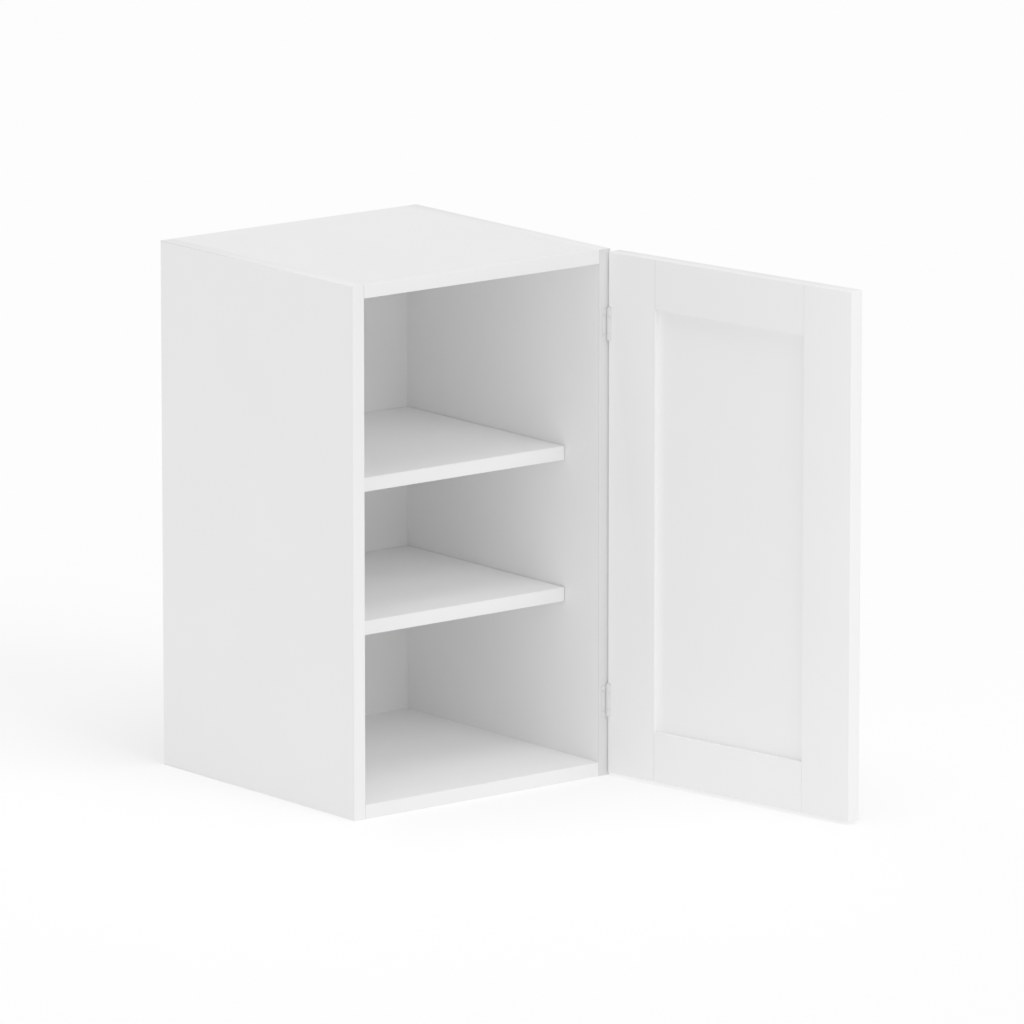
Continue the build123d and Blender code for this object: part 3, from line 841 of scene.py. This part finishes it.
def add_knuckle(bm, low, high):
    """Adds a knuckle with rounded ends."""
    radius = barrel_radius()
    bevel = KNUCKLE_EASE * (1 - math.sqrt(0.5))  # half-way round the rounding
    start = [(0, 0), (radius - KNUCKLE_EASE, 0), (radius - bevel, bevel), (radius, KNUCKLE_EASE)]
    end = [(r, high - low - z) for r, z in reversed(start)]
    made = add_lathe(bm, start + end)
    turn(bm, made, (HINGE_AXIS.x, HINGE_AXIS.y, low), (0, 0, 1))


def leaf(piece_name, name, plate, at_ends, screw_spots, screw_along):
    """A leaf's plate between two corners, its knuckles, and its countersunk screw holes."""
    bm = bmesh.new()
    add_plate(bm, *plate)
    piece = as_object(piece_name, bm, HINGE_PAINT_AND_SHADE)
    room = bmesh.new()
    for low, high in knuckle_spans(name, not at_ends):
        add_rod(room, (HINGE_AXIS.x, HINGE_AXIS.y, low - KNUCKLE_GAP), (0, 0, 1),
                barrel_radius() + KNUCKLE_ROOM, high - low + 2 * KNUCKLE_GAP)
    cut(piece, room)
    for low, high in knuckle_spans(name, at_ends):
        knuckle = bmesh.new()
        add_knuckle(knuckle, low, high)
        combine(piece, knuckle, "UNION")
    low, high = hinge_span(name)
    holes = bmesh.new()
    add_rod(holes, (HINGE_AXIS.x, HINGE_AXIS.y, low - CLEAR), (0, 0, 1), PIN_R + PIN_SLACK,
            high - low + 2 * CLEAR)
    countersink = [
        (0, -LEAF / 2),
        (SCREW_HEAD_R + LEAF / 2, -LEAF / 2),
        (SCREW_HEAD_R + SCREW_SLACK, 0),
        (SCREW_SHANK_R + SCREW_SLACK, SCREW_HEAD),
        (0, SCREW_HEAD),
    ]
    for spot in screw_spots:
        turn(holes, add_lathe(holes, countersink), spot, screw_along)
    return ease(cut(piece, holes), METAL_EASE, 2)


def cabinet_screw_spots(name):
    """Where the screws of the cabinet leaf start, on the leaf's front."""
    lo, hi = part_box(f"hinge_screws_cabinet_{name}")
    return [Vector((lo.x + SCREW_HEAD_R, lo.y, z)) for z in (lo.z + SCREW_HEAD_R, hi.z - SCREW_HEAD_R)]


def door_screw_spots(name):
    """Where the screws of the door leaf start, on the leaf's outside, with the door shut."""
    lo, hi = closed_box(f"hinge_screws_door_{name}")
    return [Vector((hi.x, lo.y + SCREW_HEAD_R, z)) for z in (lo.z + SCREW_HEAD_R, hi.z - SCREW_HEAD_R)]


def screw_mesh():
    """A countersunk screw that starts at the origin and runs along +Z, with a cross recess."""
    core = SCREW_SHANK_R - THREAD_DEPTH
    profile = [
        (0, 0),
        (SCREW_HEAD_R - SCREW_SLACK, 0),
        (SCREW_HEAD_R, SCREW_SLACK),
        (SCREW_SHANK_R, SCREW_HEAD),
    ]
    start = SCREW_LENGTH - SCREW_POINT - THREAD_PITCH * THREAD_TURNS
    for i in range(THREAD_TURNS):
        z = start + i * THREAD_PITCH
        profile += [(core, z), (SCREW_SHANK_R, z + THREAD_PITCH / 2)]
    profile += [(core, SCREW_LENGTH - SCREW_POINT), (SCREW_TIP_R, SCREW_LENGTH), (0, SCREW_LENGTH)]
    bm = bmesh.new()
    add_lathe(bm, profile, SMALL_ROUND_STEPS)
    piece = as_object("screw", bm)
    recess = bmesh.new()
    add_cross(recess, Vector(), *CROSS_RECESS)
    cut(piece, recess)
    mesh = piece.data
    bpy.data.objects.remove(piece)
    return mesh


def screws(piece_name, spots, along, source):
    """One piece that holds a screw at each spot."""
    bm = bmesh.new()
    for spot in spots:
        before = set(bm.verts)
        bm.from_mesh(source)
        turn(bm, [v for v in bm.verts if v not in before], spot, along)
    return as_object(piece_name, bm, HINGE_PAINT_AND_SHADE)


def hinge_pin(name):
    """The loose pin with its domed finial."""
    lo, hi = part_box(f"hinge_pin_{name}")
    _, top = hinge_span(name)
    dome = hi.z - top
    arc = [math.pi / 2 * i / DOME_STEPS for i in range(DOME_STEPS)]
    profile = [(0, lo.z), (PIN_R - PIN_EASE, lo.z), (PIN_R, lo.z + PIN_EASE), (PIN_R, top)]
    profile += [(dome * math.cos(t), top + dome * math.sin(t)) for t in arc] + [(0, hi.z)]
    bm = bmesh.new()
    made = add_lathe(bm, profile)
    turn(bm, made, (HINGE_AXIS.x, HINGE_AXIS.y, 0), (0, 0, 1))
    return as_object(f"hinge_{name}_pin", bm, HINGE_PAINT_AND_SHADE)


def hinges():
    """Both hinges: the leaf on the carcass, the leaf on the door, the pin and the screws."""
    screw = screw_mesh()
    for name in HINGES:
        spots = cabinet_screw_spots(name)
        piece = leaf(f"hinge_{name}_cabinet_leaf", name, cabinet_plate(name), True, spots, (0, 1, 0))
        place(piece, "carcass", "hinge_metal", f"hinge_leaf_cabinet_{name}")
        place(screws(f"hinge_{name}_cabinet_screws", spots, (0, 1, 0), screw), "carcass",
              "hinge_metal", f"hinge_screws_cabinet_{name}")
        place(ease(hinge_pin(name), METAL_EASE, 2), "carcass", "hinge_metal", f"hinge_pin_{name}")

        spots = door_screw_spots(name)
        piece = leaf(f"hinge_{name}_door_leaf", name, door_plate(name), False, spots, (-1, 0, 0))
        piece.data.transform(OPENED)
        place(piece, "door", "hinge_metal", f"hinge_leaf_door_{name}")
        piece = screws(f"hinge_{name}_door_screws", spots, (-1, 0, 0), screw)
        piece.data.transform(OPENED)
        place(piece, "door", "hinge_metal", f"hinge_screws_door_{name}")


# Door, in the frame of the closed door


def stile_groove(inner, side):
    """The groove in a stile's inner edge. side is 1 where the stile lies to the right of that edge."""
    lo, hi = closed_box("door_panel")
    bm = bmesh.new()
    add_box(bm, (inner - side * CLEAR, lo.y, lo.z - CLEAR), (inner + side * GROOVE_DEPTH, hi.y, hi.z + CLEAR))
    return bm


def stiles():
    """The two full-height stiles, rounded along the door's outline."""
    for which, side in (("hinge", 1), ("free", -1)):
        node = f"door_stile_{which}"
        lo, hi = closed_box(node)
        inner = lo.x if which == "hinge" else hi.x
        bm = bmesh.new()
        add_box(bm, lo, hi)
        round_edges(bm, DOOR_EASE, lambda p, inner=inner: abs(p.x - inner) > TINY)
        piece = as_object(f"door_{which}_stile", bm, LACQUER)
        cut(piece, stile_groove(inner, side))
        if which == "hinge":
            for name in HINGES:
                cut(piece, mortise(name, door_plate(name)))
        piece.data.transform(OPENED)
        place(ease(piece, JOINT_EASE), "door", "door_lacquer", node)


def rails():
    """The two rails, rounded along the door's outline, with a thin open line where they meet a stile."""
    left = closed_box("door_stile_free")[1].x
    right = closed_box("door_stile_hinge")[0].x
    for which in ("top", "bottom"):
        node = f"door_rail_{which}"
        lo, hi = closed_box(node)
        lo.x, hi.x = left, right
        outer = hi.z if which == "top" else lo.z
        slit = Vector((JOINT_SLIT, 0, 0))
        bm = bmesh.new()
        add_box(bm, lo + slit, hi - slit)

        def outline(p, outer=outer, middle=(left + right) / 2):
            return abs(p.z - outer) < TINY and abs(p.x - middle) < TINY

        round_edges(bm, DOOR_EASE, outline)
        piece = as_object(f"door_{which}_rail", bm, LACQUER)
        deep = Vector((0, JOINT_DEPTH, JOINT_DEPTH))
        shoulders = bmesh.new()
        add_box(shoulders, lo + deep, hi - deep)
        combine(piece, shoulders, "UNION")
        piece.data.transform(OPENED)
        place(ease(piece, JOINT_EASE), "door", "door_lacquer", node)


def inset_panel():
    """The thin panel, whose edges are out of sight between the stiles and rails."""
    lo, hi = closed_box("door_panel")
    top = closed_box("door_rail_top")[0].z
    bottom = closed_box("door_rail_bottom")[1].z
    bm = bmesh.new()
    add_box(bm, (lo.x, lo.y, bottom), (hi.x, hi.y, top))
    piece = as_object("door_inset_panel", bm, LACQUER)
    piece.data.transform(OPENED)
    place(ease(piece, METAL_EASE, 2), "door", "door_lacquer", "door_panel")


# Studio


def studio():
    """The floor and the light."""
    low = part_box("bottom_panel")[0]
    bpy.ops.mesh.primitive_plane_add(size=FLOOR_SIZE, location=(0, 0, low.z - FLOOR_DROP))
    floor = bpy.context.object
    floor.name = "studio_floor"
    floor.data.materials.append(FLOOR)

    world = bpy.data.worlds.new("white_room")
    world.use_nodes = True
    sky = world.node_tree.nodes["Background"]
    sky.inputs["Color"].default_value = (1, 1, 1, 1)
    sky.inputs["Strength"].default_value = ROOM_LIGHT
    bpy.context.scene.world = world
    for name, azimuth, elevation, width, strength in SOFT_BOXES:
        soft_box(name, math.radians(azimuth), math.radians(elevation), math.radians(width), strength)

    view = bpy.context.scene.view_settings
    view.view_transform = "Standard"
    view.gamma = GAMMA


def soft_box(name, azimuth, elevation, width, strength):
    """A wide soft light, far away. Azimuth 0 is in front of the cabinet, and grows to its right."""
    data = bpy.data.lights.new(name, "SUN")
    data.energy = strength
    data.angle = width
    lamp = bpy.data.objects.new(name, data)
    lamp.rotation_euler = direction(azimuth, elevation).to_track_quat("Z", "Y").to_euler()
    bpy.context.scene.collection.objects.link(lamp)


def direction(azimuth, elevation):
    """The direction from the cabinet to a place around it."""
    return Vector((
        math.sin(azimuth) * math.cos(elevation),
        -math.cos(azimuth) * math.cos(elevation),
        math.sin(elevation),
    ))


def camera():
    """A long lens, a little above the cabinet and to its left."""
    middle = (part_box("side_panel_left")[0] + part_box("side_panel_right")[1]) / 2
    back = direction(EYE_AZIMUTH, EYE_ELEVATION)
    data = bpy.data.cameras.new("camera")
    data.lens = LENS
    data.clip_end = EYE_REACH
    eye = bpy.data.objects.new("camera", data)
    eye.location = middle + EYE_AIM + back * EYE_DISTANCE
    eye.rotation_euler = back.to_track_quat("Z", "Y").to_euler()
    bpy.context.scene.collection.objects.link(eye)
    bpy.context.scene.camera = eye


camera()
studio()
sides()
cross_panels()
side_bands()
front_bands()
hanging_rail()
shelves()
shelf_pins()
cam_locks()
carried_over()
hinges()
stiles()
rails()
inset_panel()
